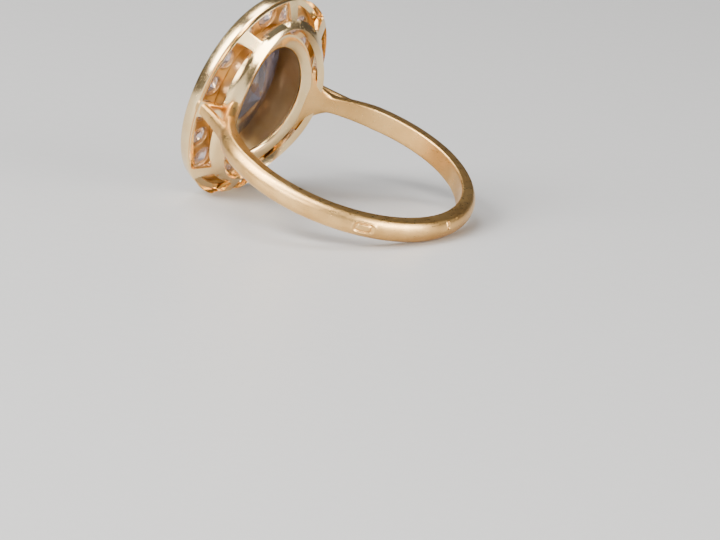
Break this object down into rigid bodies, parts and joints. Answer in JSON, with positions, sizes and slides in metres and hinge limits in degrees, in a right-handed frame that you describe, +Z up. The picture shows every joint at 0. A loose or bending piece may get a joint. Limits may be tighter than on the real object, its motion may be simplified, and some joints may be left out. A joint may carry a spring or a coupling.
{
  "type": "cocktail ring",
  "caption": "Oval cluster ring on a narrow half-round shank, with a windowed gallery, a centre stone and a halo of small stones.",
  "frame": {"origin": "on the surface the ring lies on, under the middle of its bounding box", "axes": "+Z up from that surface, -X towards the head, so that +X is towards the back of the shank; the ring lies on the edge of its head and the back of its shank"},
  "size_m": [0.0222, 0.0196, 0.0155],
  "materials": {
    "gold_shank": "warm yellow-rose gold, polished, with fine wear scratches and small pits",
    "gold_head": "warm yellow-rose gold, bright polish",
    "centre_stone": "cut stone, smoky lilac grey, polished facets",
    "halo_stone": "cut stone, pale pinkish, polished facets"
  },
  "bodies": {
    "root": {"base_ring": "gold_head", "centre_stone": "centre_stone", "claw_1": "gold_head", "claw_2": "gold_head", "claw_3": "gold_head", "claw_4": "gold_head", "claw_5": "gold_head", "claw_6": "gold_head", "claw_7": "gold_head", "claw_8": "gold_head", "collet": "gold_head", "gallery": "gold_head", "halo_beads": "gold_head", "halo_plate": "gold_head", "halo_stone_01": "halo_stone", "halo_stone_02": "halo_stone", "halo_stone_03": "halo_stone", "halo_stone_04": "halo_stone", "halo_stone_05": "halo_stone", "halo_stone_06": "halo_stone", "halo_stone_07": "halo_stone", "halo_stone_08": "halo_stone", "halo_stone_09": "halo_stone", "halo_stone_10": "halo_stone", "halo_stone_11": "halo_stone", "halo_stone_12": "halo_stone", "halo_stone_13": "halo_stone", "halo_stone_14": "halo_stone", "halo_stone_15": "halo_stone", "halo_stone_16": "halo_stone", "rim_band": "gold_head", "shank": "gold_shank", "shoulder_far": "gold_shank", "shoulder_near": "gold_shank"}
  },
  "joints": []
}
